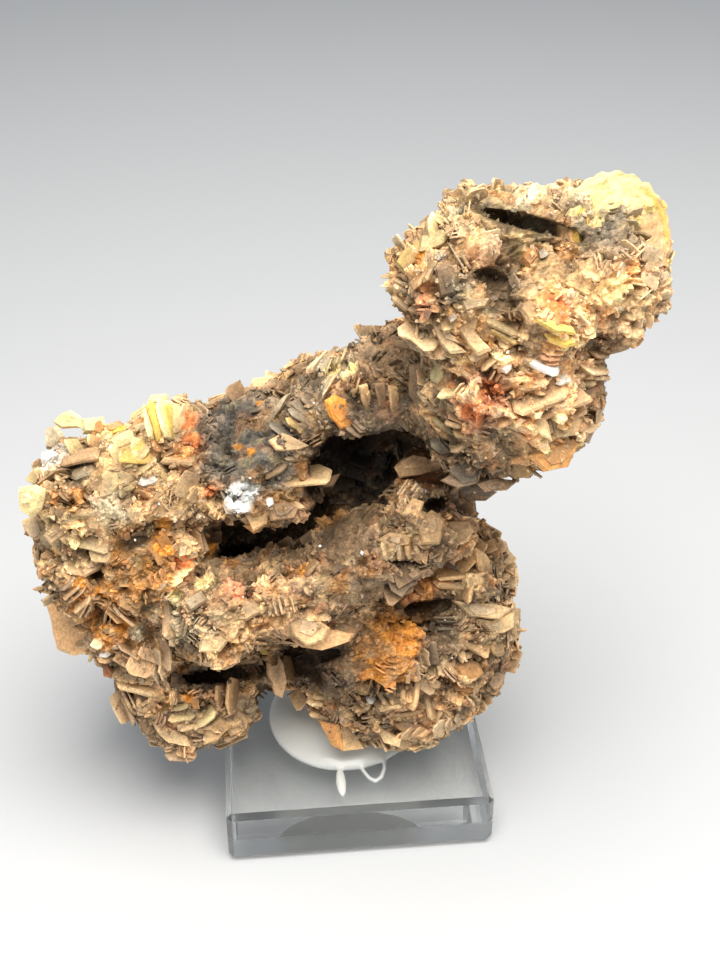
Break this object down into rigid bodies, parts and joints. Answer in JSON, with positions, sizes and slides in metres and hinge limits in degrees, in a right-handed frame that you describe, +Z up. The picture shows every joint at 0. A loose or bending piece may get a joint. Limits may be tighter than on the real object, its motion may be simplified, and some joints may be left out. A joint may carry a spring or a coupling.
{
  "type": "barite specimen",
  "caption": "Brown barite specimen with upright and leaning bladed crystals on a branching crust, fixed with glue on a clear square base.",
  "frame": {"origin": "middle of the clear base's underside", "axes": "+Z up out of the base, +X to the right along the base's front edge, +Y to the back"},
  "size_m": [0.0885, 0.0484, 0.0996],
  "materials": {
    "stone": "rough crust with dull to waxy crystal faces",
    "glue": "milky, half clear, satin",
    "clear_base": "polished clear acrylic"
  },
  "bodies": {
    "root": {"barite": "stone", "glue_pad": "glue", "acrylic_base": "clear_base"}
  },
  "joints": []
}
